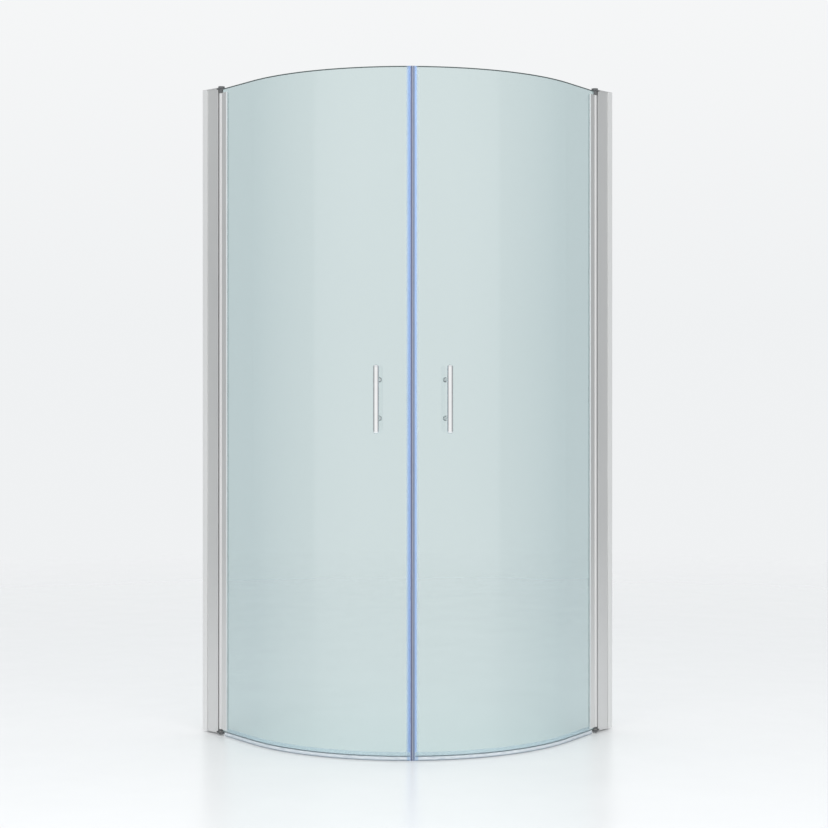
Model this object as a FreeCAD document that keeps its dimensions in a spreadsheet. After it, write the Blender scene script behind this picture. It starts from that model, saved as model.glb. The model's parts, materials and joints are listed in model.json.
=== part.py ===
import FreeCAD, Part
import math
import os
import Sketcher
from FreeCAD import Placement, Rotation, Vector

# Quadrant shower enclosure for a room corner: two bent glass doors that hang on wall
# profiles and meet on the corner's diagonal.
#
# Row frame: floor at Z 0, left wall at X = -footprint / 2, right wall at
# Y = +footprint / 2, doors towards +X and -Y. The left half is built piece by piece
# and the right half is its mirror image in the diagonal plane. Both doors open outward
# only, because their edges meet at the seam and stop each other inward.

# Driving sizes in millimetres and degrees: name, value, meaning.
SIZES = [
    ("footprint", 900, "wall to outermost seal, along either wall"),
    ("total_height", 1900, "floor to the top of the pivot brackets"),
    ("seal_outer_radius", 550, "outer radius of the curved bottom seal"),
    ("arc_end_angle", 10, "how far the arc runs past square to the wall"),
    # glass
    ("glass_thickness", 6, "bent safety glass"),
    ("glass_bottom", 12, "floor to the glass"),
    ("glass_drop", 8, "top of the pivot brackets down to the glass"),
    ("glass_setback", 6.8, "closing edge of the glass to the diagonal"),
    # soft seals
    ("seal_wall", 1, "wall of the clear seals"),
    ("grip_gap", 0.1, "play between glass and what grips it"),
    ("seal_leg_top", 24, "floor to the top of the bottom seal's legs"),
    ("seal_foot_height", 1.4, "height of the wiping foot"),
    ("seal_start", 25, "pivot to the seal's hollow, under the hinge profile"),
    ("seal_tip_width", 1.2, "width of the foot's tip"),
    ("seam_gap", 0.8, "gap between the closed doors"),
    ("magnet_seal_bottom", 1, "floor to the magnet seal"),
    ("magnet_seal_proud", 0.9, "how far its chamber stands proud of its legs"),
    ("magnet_leg_length", 10.4, "legs of the magnet seal, along the glass"),
    ("leg_taper", 0.25, "thinning of each face of a leg towards its end"),
    ("magnet_seal_play", 0.2, "play of the magnet seal on the glass"),
    ("magnet_play", 0.1, "play of the strip in its chamber"),
    ("magnet_bottom", 7, "floor to the magnet strip"),
    ("magnet_end_gap", 1, "strip's upper end below the seal's"),
    ("seal_joint_gap", 0.5, "gap between one seal and the next"),
    # wall channel
    ("reach_past_pivot", 4, "pivot to the channel's outer face, along the wall"),
    ("channel_width", 30, "outside width, along the wall"),
    ("channel_depth", 20, "how far it stands off the wall"),
    ("channel_wall", 1.6, "sheet of the channel"),
    ("profile_bottom", 5, "floor to the aluminium profiles"),
    ("profile_drop", 3.5, "top of the pivot brackets down to the profiles"),
    ("wall_hole_radius", 3, "wall screw holes"),
    ("wall_hole_pitch", 500, "wall screw holes, up the wall"),
    # adjusting profile
    ("slide_gap", 0.3, "play between the nested profiles"),
    ("adjust_start", 10, "wall to the adjusting profile's open edge"),
    ("adjust_end", 67, "wall to its closed end"),
    ("adjust_wall", 1.6, "its side walls"),
    ("adjust_end_wall", 2.6, "its closed end"),
    ("adjust_web_place", 40, "wall to its inner web"),
    ("adjust_round", 0.8, "rounding of its outer corners"),
    # screws that join the two profiles
    ("lock_screw_end", 150, "profile end to the nearest lock screw"),
    ("screw_radius", 2, "shank of the small screws"),
    ("screw_head_radius", 3.5, "their heads"),
    ("screw_head_height", 2.2, "their heads"),
    ("screw_play", 0.05, "play of a screw in its hole"),
    ("lock_screw_length", 8, "under the head"),
    ("cover_room", 0.5, "room round a screw head in its cover"),
    ("cover_gap", 0.4, "gap over a screw head in its cover"),
    ("cover_wall", 1, "screw covers"),
    # closing plate on top of the profiles
    ("cap_thickness", 1.5, "plate on top of the profiles"),
    ("cap_gap", 0.5, "plate short of the bracket's disc"),
    ("cap_tongue_depth", 8, "tongue that reaches into the channel"),
    ("cap_tongue_thickness", 6, "tongue, off the wall"),
    # pivot brackets
    ("disc_overhang", 2, "bracket disc beyond the hinge tube"),
    ("disc_top_height", 7, "thickness of the upper disc"),
    ("disc_bottom_start", 3.8, "floor to the lower disc"),
    ("disc_bottom_height", 6, "thickness of the lower disc"),
    ("neck_width", 16, "neck between plug and disc, from the profile's outer face"),
    ("neck_play", 0.2, "play of the neck in its notch"),
    ("plug_depth", 25, "plug inside the profile"),
    ("plug_play", 0.3, "play of the plug in the profile"),
    ("bracket_screw_end", 15, "profile end to the bracket screw"),
    ("bracket_screw_length", 13, "under the head"),
    # pivot
    ("pin_radius", 3, "pivot pins"),
    ("pin_chamfer", 1, "their ends"),
    ("pin_cover", 2, "bracket left over the end of a pin"),
    ("pin_reach", 16, "pin beyond the bracket"),
    ("pivot_clearance", 0.05, "running play of the pin in its bush"),
    ("bush_wall", 1.45, "bushes"),
    ("bush_length", 18, "bushes"),
    ("seat_gap", 0.05, "play of a seated piece"),
    ("washer_thickness", 1, "thrust washer under the door"),
    ("washer_inset", 1, "thrust washer inside the hinge tube's outline"),
    ("turning_gap", 0.4, "height gap between door and bracket"),
    # hinge profile
    ("tube_radius", 7.5, "hinge tube"),
    ("pivot_gap", 6, "adjusting profile to the hinge tube"),
    ("tube_wall", 1.8, "hinge tube"),
    ("cap_flange_bottom", 7.3, "flange of the lower end cap"),
    ("cap_flange_top", 13, "flange of the upper end cap"),
    ("spigot_length", 20, "end caps inside the tube"),
    ("hinge_neck_width", 6, "web between tube and pocket"),
    ("pocket_start", 11, "pivot to the pocket"),
    ("pocket_reach", 35, "pivot to the pocket's mouth"),
    ("pocket_wall", 1.2, "side walls of the pocket"),
    ("pocket_floor", 2.2, "floor of the pocket"),
    # soft gaskets
    ("gasket_wall", 1.2, "glazing gasket beside the glass"),
    ("gasket_lip", 4, "its lips beyond the pocket"),
    ("pivot_gasket_inset", 7.1, "outer face of the profile to its middle"),
    ("pivot_gasket_width", 5, "gasket beside the hinge tube"),
    ("pivot_gasket_gap", 0.27, "that gasket short of the hinge tube"),
    ("gasket_end_gap", 0.4, "its ends short of the brackets"),
    ("pivot_gasket_seat", 1.2, "depth of its groove"),
    # handles
    ("handle_height", 985.3, "floor to the handle's middle"),
    ("handle_length", 187, "bar"),
    ("handle_radius", 8.25, "bar"),
    ("handle_round", 7, "rounding of the bar's ends"),
    ("handle_arc", 92.3, "diagonal to the handle, along the glass"),
    ("handle_standoff", 48.6, "glass to the bar's axis"),
    ("handle_spacing", 105, "between the two posts"),
    ("post_radius", 6, "posts"),
    ("post_collar_radius", 7, "foot of the posts"),
    ("post_collar_height", 2.5, "foot of the posts"),
    ("pad_thickness", 1, "clear washers on the glass"),
    ("handle_screw_radius", 2.5, "screws through the glass"),
    ("handle_screw_grip", 12, "screw inside the post"),
    ("handle_head_radius", 4.4, "screw head"),
    ("handle_head_height", 3, "screw head"),
    ("head_play", 0.1, "play of the screw head in its rosette"),
    ("rosette_radius", 7.4, "rosette on the inside"),
    ("rosette_height", 5.5, "rosette on the inside"),
    ("rosette_bevel", 1.2, "its bevelled edge"),
    ("sleeve_gap", 0.4, "screw to the sleeve in the glass hole"),
    ("sleeve_wall", 2, "that sleeve"),
]


class Size:
    """A size with its number and the sheet formula that gives it."""

    def __init__(self, number, formula=None):
        self.number = float(number)
        self.formula = formula if formula else repr(float(number))

    def joined(self, sign, other, number, swapped=False):
        other = as_size(other)
        parts = (other, self) if swapped else (self, other)
        return Size(number, "(%s %s %s)" % (parts[0].formula, sign, parts[1].formula))

    def __add__(self, other):
        return self.joined("+", other, self.number + as_size(other).number)

    def __radd__(self, other):
        return self + other

    def __sub__(self, other):
        return self.joined("-", other, self.number - as_size(other).number)

    def __rsub__(self, other):
        return self.joined("-", other, as_size(other).number - self.number, swapped=True)

    def __mul__(self, other):
        return self.joined("*", other, self.number * as_size(other).number)

    def __rmul__(self, other):
        return self * other

    def __truediv__(self, other):
        return self.joined("/", other, self.number / as_size(other).number)

    def __neg__(self):
        return Size(-self.number, "(0 - %s)" % self.formula)


def as_size(value):
    return value if isinstance(value, Size) else Size(value)


def cosine(angle):
    return Size(math.cos(math.radians(angle.number)), "cos(%s)" % angle.formula)


def sine(angle):
    return Size(math.sin(math.radians(angle.number)), "sin(%s)" % angle.formula)


def arc_angle(length, radius):
    """The angle, in degrees, of an arc of this length."""
    degrees = math.degrees(length.number / radius.number)
    return Size(degrees, "(%s / %s * 180 / pi)" % (length.formula, radius.formula))


doc = FreeCAD.newDocument("ShowerEnclosure")
sheet = doc.addObject("Spreadsheet::Sheet", "Sizes")
S = {}
for row, (alias, value, meaning) in enumerate(SIZES, start=1):
    sheet.set("A%d" % row, meaning)
    sheet.set("B%d" % row, str(value))
    sheet.setAlias("B%d" % row, alias)
    S[alias] = Size(value, "Sizes.%s" % alias)
doc.recompute()

# ---------------------------------------------------------------- derived places

DIAGONAL = 45
HALF_FOOTPRINT = S["footprint"] / 2
CENTRE_X = HALF_FOOTPRINT - S["seal_outer_radius"]
CENTRE_Y = -CENTRE_X
HINGE_TURN = 90 + S["arc_end_angle"]
DOOR_SWEEP = DIAGONAL + S["arc_end_angle"]

GLASS_OUT = S["seal_outer_radius"] - S["seal_wall"] - S["grip_gap"]
GLASS_IN = GLASS_OUT - S["glass_thickness"]
GLASS_MID = GLASS_OUT - S["glass_thickness"] / 2

# the pivot stands in front of the adjusting profile, in the middle of the glass's
# straight end, which runs on from the arc by HINGE_RUN
PIVOT_OFF_WALL = S["adjust_end"] + S["pivot_gap"] + S["tube_radius"]
PIVOT_X = PIVOT_OFF_WALL - HALF_FOOTPRINT
ARC_END_X = CENTRE_X + GLASS_MID * cosine(HINGE_TURN)
ARC_END_Y = CENTRE_Y - GLASS_MID * sine(HINGE_TURN)
HINGE_RUN = (ARC_END_X - PIVOT_X) / sine(HINGE_TURN)
PIVOT_Y = ARC_END_Y - HINGE_RUN * cosine(HINGE_TURN)
PIVOT_ALONG_WALL = HALF_FOOTPRINT - PIVOT_Y

# along the wall from the corner: faces of the nested profiles
CHANNEL_OUTER = PIVOT_ALONG_WALL + S["reach_past_pivot"]
CHANNEL_INNER = CHANNEL_OUTER - S["channel_width"]
ADJUST_OUTER = CHANNEL_OUTER - S["channel_wall"] - S["slide_gap"]
ADJUST_INNER = CHANNEL_INNER + S["channel_wall"] + S["slide_gap"]
PROFILE_TOP = S["total_height"] - S["profile_drop"]
PROFILE_MIDDLE = (S["profile_bottom"] + PROFILE_TOP) / 2
LOCK_OFF_WALL = (S["adjust_start"] + S["channel_depth"]) / 2
CHAMBER_START = S["adjust_web_place"] + S["adjust_wall"]
CHAMBER_END = S["adjust_end"] - S["adjust_end_wall"]
NECK_START = CHAMBER_END - 2 * S["adjust_wall"]
NECK_INNER = ADJUST_OUTER - S["neck_width"]

DISC_RADIUS = S["tube_radius"] + S["disc_overhang"]
DISC_TOP_START = S["total_height"] - S["disc_top_height"]
DISC_BOTTOM_END = S["disc_bottom_start"] + S["disc_bottom_height"]
CAP_TOP_END = DISC_TOP_START - S["turning_gap"]
CAP_BOTTOM_START = DISC_BOTTOM_END + S["washer_thickness"] + S["turning_gap"]
TUBE_TOP = CAP_TOP_END - S["cap_flange_top"]
TUBE_BOTTOM = CAP_BOTTOM_START + S["cap_flange_bottom"]
BUSH_RADIUS = S["pin_radius"] + S["pivot_clearance"] + S["bush_wall"]

GLASS_TOP = S["total_height"] - S["glass_drop"]

GASKET_FLOOR = S["pocket_start"] + S["pocket_floor"] + S["grip_gap"]
GLASS_END = GASKET_FLOOR + S["gasket_wall"] + S["grip_gap"]
LIP_END = S["pocket_reach"] + S["grip_gap"] + S["gasket_lip"]
GASKET_HALF = S["glass_thickness"] / 2 + S["grip_gap"] + S["gasket_wall"]
POCKET_HALF = GASKET_HALF + S["grip_gap"] + S["pocket_wall"]

SEAL_IN = GLASS_IN - S["grip_gap"] - S["seal_wall"]
SEAL_FLOOR = S["glass_bottom"] - S["grip_gap"]
MAGNET_LEG_START = S["seal_leg_top"] + S["seal_joint_gap"]

HANDLE_TURN = DIAGONAL + arc_angle(S["handle_arc"], GLASS_OUT)
BAR_AXIS = GLASS_OUT + S["handle_standoff"]
SLEEVE_INNER = S["handle_screw_radius"] + S["sleeve_gap"]
SLEEVE_OUTER = SLEEVE_INNER + S["sleeve_wall"]
GLASS_HOLE_RADIUS = SLEEVE_OUTER + S["grip_gap"]
POST_FOOT = GLASS_OUT + S["grip_gap"] + S["pad_thickness"]
ROSETTE_FACE = GLASS_IN - S["grip_gap"] - S["pad_thickness"]
ROSETTE_BACK = ROSETTE_FACE - S["rosette_height"]


# ---------------------------------------------------------------- modelling helpers

def bind(thing, path, size):
    """Ties one property to the sheet."""
    thing.setExpression(path, as_size(size).formula)


def place(thing, x, y, z=0, turn=None):
    """Puts a piece at a point, turned clockwise seen from above."""
    x, y, z = as_size(x), as_size(y), as_size(z)
    degrees = turn.number if turn else 0
    about = Rotation(Vector(0, 0, -1), degrees)
    thing.Placement = Placement(Vector(x.number, y.number, z.number), about)
    bind(thing, "Placement.Base.x", x)
    bind(thing, "Placement.Base.y", y)
    bind(thing, "Placement.Base.z", z)
    if turn:
        bind(thing, "Placement.Rotation.Angle", turn)


def at_wall(body, z=0):
    """X off the wall, -Y along the wall from the room corner."""
    place(body, -HALF_FOOTPRINT, HALF_FOOTPRINT, z)


def at_hinge_end(body, z=0):
    """X outward through the arc's hinge end, +Y towards the closing edge."""
    place(body, CENTRE_X, CENTRE_Y, z, HINGE_TURN)


def at_seam(body, z=0):
    """X outward along the diagonal, -Y into the left door."""
    place(body, CENTRE_X, CENTRE_Y, z, as_size(DIAGONAL))


def at_handle(body, z=0):
    """X outward through the handle."""
    place(body, CENTRE_X, CENTRE_Y, z, HANDLE_TURN)


def at_pivot(body, z=0):
    place(body, PIVOT_X, PIVOT_Y, z)


def new_body(label, locate, z=0):
    body = doc.addObject("PartDesign::Body", label)
    body.Label = label
    locate(body, z)
    return body


def new_sketch(body, plane, offset=None):
    """A sketch on one of the body's origin planes, moved along its normal."""
    sketch = body.newObject("Sketcher::SketchObject", body.Label + "_sketch")
    role = plane + "_Plane"
    support = [o for o in body.Origin.OriginFeatures if o.Role == role][0]
    sketch.AttachmentSupport = [(support, "")]
    sketch.MapMode = "FlatFace"
    if offset is not None:
        offset = as_size(offset)
        sketch.AttachmentOffset = Placement(Vector(0, 0, offset.number), Rotation())
        bind(sketch, "AttachmentOffset.Base.z", offset)
    return sketch


def pin_point(sketch, edge, end, x, y):
    """Ties a point of the sketch to sheet formulas for its coordinates."""
    on_axis = {"DistanceX": -2, "DistanceY": -1}
    for kind, value in (("DistanceX", x), ("DistanceY", y)):
        value = as_size(value)
        if value.number == 0:
            sketch.addConstraint(Sketcher.Constraint("PointOnObject", edge, end, on_axis[kind]))
            continue
        rule = Sketcher.Constraint(kind, -1, 1, edge, end, value.number)
        index = sketch.addConstraint(rule)
        bind(sketch, "Constraints[%d]" % index, value)


def add_outline(sketch, corners):
    """A closed outline of straight edges through the given corners."""
    first = sketch.GeometryCount
    count = len(corners)
    points = [Vector(as_size(x).number, as_size(y).number, 0) for x, y in corners]
    for i in range(count):
        sketch.addGeometry(Part.LineSegment(points[i], points[(i + 1) % count]), False)
    for i in range(count):
        meet = (first + i, 2, first + (i + 1) % count, 1)
        sketch.addConstraint(Sketcher.Constraint("Coincident", *meet))
    for i, (x, y) in enumerate(corners):
        pin_point(sketch, first + i, 1, x, y)


def add_box(sketch, x0, y0, x1, y1):
    add_outline(sketch, [(x0, y0), (x1, y0), (x1, y1), (x0, y1)])


def add_circle(sketch, x, y, radius):
    """A circle whose centre and radius follow the sheet."""
    x, y, radius = as_size(x), as_size(y), as_size(radius)
    middle = Vector(x.number, y.number, 0)
    edge = sketch.addGeometry(Part.Circle(middle, Vector(0, 0, 1), radius.number), False)
    pin_point(sketch, edge, 3, x, y)
    index = sketch.addConstraint(Sketcher.Constraint("Radius", edge, radius.number))
    bind(sketch, "Constraints[%d]" % index, radius)


def pad(body, sketch, length):
    feature = body.newObject("PartDesign::Pad", body.Label + "_pad")
    feature.Profile = sketch
    bind(feature, "Length", length)
    doc.recompute()
    return feature


def revolve(body, sketch, axis, angle=360):
    feature = body.newObject("PartDesign::Revolution", body.Label + "_revolution")
    feature.Profile = sketch
    feature.ReferenceAxis = (sketch, [axis])
    bind(feature, "Angle", angle)
    doc.recompute()
    return feature


def pocket(body, sketch, length):
    """Cuts along the sketch's normal, and makes sure that it removed something."""
    before = body.Shape.Volume
    feature = body.newObject("PartDesign::Pocket", body.Label + "_pocket")
    feature.Profile = sketch
    feature.Reversed = True
    bind(feature, "Length", length)
    doc.recompute()
    if body.Shape.Volume >= before:
        raise RuntimeError("the cut in %s removes nothing" % body.Label)
    return feature


def slab(body, z0, z1, draw):
    """Pads a plan drawn by draw(sketch), from height z0 to height z1."""
    sketch = new_sketch(body, "XY", z0)
    draw(sketch)
    return pad(body, sketch, as_size(z1) - z0)


def turned(label, locate, z, half_section):
    """A piece turned about a vertical axis: radius and height of its half section."""
    body = new_body(label, locate, z)
    sketch = new_sketch(body, "XZ")
    add_outline(sketch, half_section)
    revolve(body, sketch, "V_Axis")
    return body


def turned_outward(label, z, half_section):
    """A piece turned about the outward direction through the handle."""
    body = new_body(label, at_handle, z)
    sketch = new_sketch(body, "XZ")
    add_outline(sketch, half_section)
    revolve(body, sketch, "H_Axis")
    return body


def turned_along_wall(label, off_wall, z, along, radius_steps):
    """A screw-like piece about an axis along the wall, pointing away from the corner.

    radius_steps holds (start, end, radius) from the place called along."""
    body = new_body(label, at_wall, z)
    for start, end, radius in radius_steps:
        sketch = new_sketch(body, "XZ", along + start)
        add_circle(sketch, off_wall, 0, radius)
        pad(body, sketch, as_size(end) - start)
    return body


def group(label, members):
    """Several separate solids kept as one sub-part."""
    compound = doc.addObject("Part::Compound", label)
    compound.Label = label
    compound.Links = members
    doc.recompute()
    return compound


def cut(label, base, tool):
    result = doc.addObject("Part::Cut", label)
    result.Label = label
    result.Base = base
    result.Tool = tool
    doc.recompute()
    return result


def round_upright_edges(body, feature, corners, radius):
    """Rounds the upright edges that stand on the given plan corners."""
    near = 0.01
    wanted = [(x.number, y.number) for x, y in corners]
    names = []
    for index, edge in enumerate(feature.Shape.Edges, start=1):
        ends = [vertex.Point for vertex in edge.Vertexes]
        if len(ends) != 2 or abs(ends[0].z - ends[1].z) < near:
            continue
        for x, y in wanted:
            if all(abs(p.x - x) < near and abs(p.y - y) < near for p in ends):
                names.append("Edge%d" % index)
    fillet = body.newObject("PartDesign::Fillet", body.Label + "_rounding")
    fillet.Base = (feature, names)
    bind(fillet, "Radius", radius)
    doc.recompute()
    return fillet


# ---------------------------------------------------------------- wall side

def lock_heights():
    low = S["profile_bottom"] + S["lock_screw_end"]
    high = PROFILE_TOP - S["lock_screw_end"]
    return [low, PROFILE_MIDDLE, high]


def bracket_screw_heights():
    low = S["profile_bottom"] + S["bracket_screw_end"]
    high = PROFILE_TOP - S["bracket_screw_end"]
    return [low, high]


def drill_along_wall(body, along, length, off_wall, heights):
    """Round holes that run along the wall, away from the corner."""
    sketch = new_sketch(body, "XZ", along)
    for height in heights:
        add_circle(sketch, off_wall, height, S["screw_radius"] + S["screw_play"])
    pocket(body, sketch, length)


def wall_channel():
    """U channel with its web on the wall, drilled for four wall screws."""
    body = new_body("left_wall_channel", at_wall)
    wall, depth = S["channel_wall"], S["channel_depth"]
    outer, inner = -CHANNEL_OUTER, -CHANNEL_INNER

    def section(sketch):
        add_outline(sketch, [
            (0, outer), (depth, outer), (depth, outer + wall), (wall, outer + wall),
            (wall, inner - wall), (depth, inner - wall), (depth, inner), (0, inner),
        ])

    slab(body, S["profile_bottom"], PROFILE_TOP, section)
    holes = new_sketch(body, "YZ")
    for step in (-1.5, -0.5, 0.5, 1.5):
        height = PROFILE_MIDDLE + step * S["wall_hole_pitch"]
        add_circle(holes, (outer + inner) / 2, height, S["wall_hole_radius"])
    pocket(body, holes, 2 * wall)
    drill_along_wall(body, CHANNEL_INNER - wall / 2, 2 * wall, LOCK_OFF_WALL, lock_heights())
    return body


def adjusting_profile():
    """Box profile that slides in the channel and carries the door."""
    body = new_body("left_adjusting_profile", at_wall)
    wall, start, end = S["adjust_wall"], S["adjust_start"], S["adjust_end"]
    outer, inner = -ADJUST_OUTER, -ADJUST_INNER

    def section(sketch):
        add_outline(sketch, [
            (start, outer), (end, outer), (end, inner), (start, inner),
            (start, inner - wall), (CHAMBER_END, inner - wall),
            (CHAMBER_END, outer + wall), (start, outer + wall),
        ])

    def web(sketch):
        add_box(sketch, S["adjust_web_place"], outer + wall / 2, CHAMBER_START, inner - wall / 2)

    shell = slab(body, S["profile_bottom"], PROFILE_TOP, section)
    round_upright_edges(body, shell, [(end, outer), (end, inner)], S["adjust_round"])
    slab(body, S["profile_bottom"], PROFILE_TOP, web)

    groove = new_sketch(body, "XY", S["profile_bottom"])
    middle = outer + S["pivot_gasket_inset"]
    half = S["pivot_gasket_width"] / 2 + S["grip_gap"]
    add_box(groove, end - S["pivot_gasket_seat"], middle - half, end + wall, middle + half)
    pocket(body, groove, PROFILE_TOP - S["profile_bottom"])

    # open at the outer side and at the ends, for the brackets' necks and discs
    play = S["neck_play"]
    notches = new_sketch(body, "YZ", NECK_START - play)
    side_low, side_high = outer - wall, play - NECK_INNER
    add_box(notches, side_low, 0, side_high, DISC_BOTTOM_END + play)
    add_box(notches, side_low, DISC_TOP_START - play, side_high, S["total_height"])
    pocket(body, notches, end + wall - NECK_START)

    reach = 2 * wall
    drill_along_wall(body, ADJUST_INNER - wall / 2, reach, LOCK_OFF_WALL, lock_heights())
    plug_middle = (CHAMBER_START + CHAMBER_END) / 2
    drill_along_wall(body, ADJUST_INNER - wall / 2, reach, plug_middle, bracket_screw_heights())
    return body


def profile_cap():
    """Plate on top of both profiles, with a tongue in the channel."""
    body = new_body("left_profile_cap", at_wall)
    top = PROFILE_TOP

    def plate(sketch):
        end = PIVOT_OFF_WALL - DISC_RADIUS - S["cap_gap"]
        add_box(sketch, 0, -CHANNEL_OUTER, end, -CHANNEL_INNER)

    def tongue(sketch):
        start = S["channel_wall"] + S["plug_play"]
        side = S["channel_wall"] + S["plug_play"]
        add_box(
            sketch, start, -CHANNEL_OUTER + side,
            start + S["cap_tongue_thickness"], -CHANNEL_INNER - side,
        )

    slab(body, top, top + S["cap_thickness"], plate)
    slab(body, top - S["cap_tongue_depth"], top, tongue)
    return body


def lock_screws():
    """Pan head screws through the channel's inner flange into the adjusting profile."""
    steps = [
        (-S["screw_head_height"], 0, S["screw_head_radius"]),
        (0, S["lock_screw_length"], S["screw_radius"]),
    ]
    screws = []
    for number, height in enumerate(lock_heights(), start=1):
        name = "left_lock_screw_%d" % number
        screws.append(turned_along_wall(name, LOCK_OFF_WALL, height, CHANNEL_INNER, steps))
    return group("left_lock_screws", screws)


def screw_covers():
    """Cups that snap over the lock screws' heads."""
    covers = []
    room = S["screw_head_height"] + S["cover_gap"]
    inside = S["screw_head_radius"] + S["cover_room"]
    for number, height in enumerate(lock_heights(), start=1):
        name = "left_screw_cover_%d" % number
        solid = [(-room - S["cover_wall"], 0, inside + S["cover_wall"])]
        body = turned_along_wall(name, LOCK_OFF_WALL, height, CHANNEL_INNER, solid)
        hollow = new_sketch(body, "XZ", CHANNEL_INNER - room)
        add_circle(hollow, LOCK_OFF_WALL, 0, inside)
        pocket(body, hollow, room)
        covers.append(body)
    return group("left_screw_covers", covers)


def pivot_bracket(name, plug_span, neck_span, disc_span, pin_span, screw_height):
    """Plug in the profile, neck through its notch and disc over the hinge tube.

    Each span is a pair of heights. The neck is flush with the profile's outer face."""
    body = new_body(name, at_wall)
    play = S["plug_play"]
    pivot = (PIVOT_OFF_WALL, -PIVOT_ALONG_WALL)

    def plug(sketch):
        side = S["adjust_wall"] + play
        add_box(
            sketch, CHAMBER_START + play, -ADJUST_OUTER + side,
            CHAMBER_END - play, -ADJUST_INNER - side,
        )

    def neck(sketch):
        add_box(sketch, NECK_START, -ADJUST_OUTER, pivot[0], -NECK_INNER)

    def disc(sketch):
        add_circle(sketch, *pivot, DISC_RADIUS)

    slab(body, *plug_span, plug)
    slab(body, *neck_span, neck)
    slab(body, *disc_span, disc)
    hole = new_sketch(body, "XY", pin_span[0])
    add_circle(hole, *pivot, S["pin_radius"] + S["seat_gap"])
    pocket(body, hole, pin_span[1] - pin_span[0])
    screw = new_sketch(body, "XZ", ADJUST_INNER + S["adjust_wall"])
    middle = (CHAMBER_START + CHAMBER_END) / 2
    add_circle(screw, middle, screw_height, S["screw_radius"] + S["screw_play"])
    pocket(body, screw, S["bracket_screw_length"])
    return body


def pivot_brackets():
    low, high = S["profile_bottom"], PROFILE_TOP
    play = S["neck_play"]
    top = pivot_bracket(
        "left_pivot_bracket_top",
        plug_span=(high - S["plug_depth"], high - play),
        neck_span=(DISC_TOP_START, high - play),
        disc_span=(DISC_TOP_START, S["total_height"]),
        pin_span=(DISC_TOP_START, S["total_height"] - S["pin_cover"]),
        screw_height=bracket_screw_heights()[1],
    )
    bottom = pivot_bracket(
        "left_pivot_bracket_bottom",
        plug_span=(low + play, low + S["plug_depth"]),
        neck_span=(low + play, DISC_BOTTOM_END),
        disc_span=(S["disc_bottom_start"], DISC_BOTTOM_END),
        pin_span=(S["disc_bottom_start"] + S["pin_cover"], DISC_BOTTOM_END),
        screw_height=bracket_screw_heights()[0],
    )
    return [top, bottom]


def bracket_screws():
    """Screws through the adjusting profile's inner wall into the bracket plugs."""
    steps = [
        (-S["screw_head_height"], 0, S["screw_head_radius"]),
        (0, S["bracket_screw_length"], S["screw_radius"]),
    ]
    middle = (CHAMBER_START + CHAMBER_END) / 2
    screws = []
    for number, height in enumerate(bracket_screw_heights(), start=1):
        name = "left_bracket_screw_%d" % number
        screws.append(turned_along_wall(name, middle, height, ADJUST_INNER, steps))
    return group("left_bracket_screws", screws)


def pivot_gasket():
    """Strip in the profile's end groove that closes the gap to the hinge tube."""
    body = new_body("left_pivot_gasket", at_wall)
    middle = -ADJUST_OUTER + S["pivot_gasket_inset"]
    half = S["pivot_gasket_width"] / 2
    back = S["adjust_end"] - S["pivot_gasket_seat"] + S["grip_gap"]
    proud = S["pivot_gap"] - S["pivot_gasket_gap"]
    front = S["adjust_end"] + proud
    bevel = half / 2

    def section(sketch):
        add_outline(sketch, [
            (back, middle - half), (front - bevel, middle - half), (front, middle - half + bevel),
            (front, middle + half - bevel), (front - bevel, middle + half), (back, middle + half),
        ])

    low = DISC_BOTTOM_END + S["gasket_end_gap"]
    high = DISC_TOP_START - S["gasket_end_gap"]
    slab(body, low, high, section)
    return body


# ---------------------------------------------------------------- pivot

def pivot_pin(name, low, high):
    radius = S["pin_radius"]
    tip = S["pin_chamfer"]
    return turned(name, at_pivot, 0, [
        (0, low), (radius - tip, low), (radius, low + tip), (radius, high - tip),
        (radius - tip, high), (0, high),
    ])


def pivot_pins():
    top_end = S["total_height"] - S["pin_cover"]
    bottom_end = S["disc_bottom_start"] + S["pin_cover"]
    return [
        pivot_pin("left_pivot_pin_top", DISC_TOP_START - S["pin_reach"], top_end),
        pivot_pin("left_pivot_pin_bottom", bottom_end, DISC_BOTTOM_END + S["pin_reach"]),
    ]


def thrust_washer():
    inner = S["pin_radius"] + S["seat_gap"]
    outer = S["tube_radius"] - S["washer_inset"]
    low, high = DISC_BOTTOM_END, DISC_BOTTOM_END + S["washer_thickness"]
    section = [(inner, low), (outer, low), (outer, high), (inner, high)]
    return turned("left_thrust_washer", at_pivot, 0, section)


def hinge_cap(name, face, shoulder, spigot_end):
    """Tube end with a flange as wide as the tube and a spigot inside it."""
    bore = BUSH_RADIUS + S["seat_gap"]
    spigot = S["tube_radius"] - S["tube_wall"] - S["seat_gap"]
    return turned(name, at_pivot, 0, [
        (bore, face), (S["tube_radius"], face), (S["tube_radius"], shoulder),
        (spigot, shoulder), (spigot, spigot_end), (bore, spigot_end),
    ])


def hinge_caps():
    return [
        hinge_cap(
            "left_hinge_cap_top", CAP_TOP_END, TUBE_TOP, TUBE_TOP - S["spigot_length"],
        ),
        hinge_cap(
            "left_hinge_cap_bottom", CAP_BOTTOM_START, TUBE_BOTTOM,
            TUBE_BOTTOM + S["spigot_length"],
        ),
    ]


def pivot_bush(name, low):
    inner, outer = S["pin_radius"] + S["pivot_clearance"], BUSH_RADIUS
    high = low + S["bush_length"]
    section = [(inner, low), (outer, low), (outer, high), (inner, high)]
    return turned(name, at_pivot, 0, section)


def pivot_bushes():
    return [
        pivot_bush("left_pivot_bush_top", CAP_TOP_END - S["bush_length"]),
        pivot_bush("left_pivot_bush_bottom", CAP_BOTTOM_START),
    ]


# ---------------------------------------------------------------- door

def from_pivot(distance):
    """Y of a point this far from the pivot, along the straight end of the door."""
    return as_size(distance) - HINGE_RUN


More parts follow.
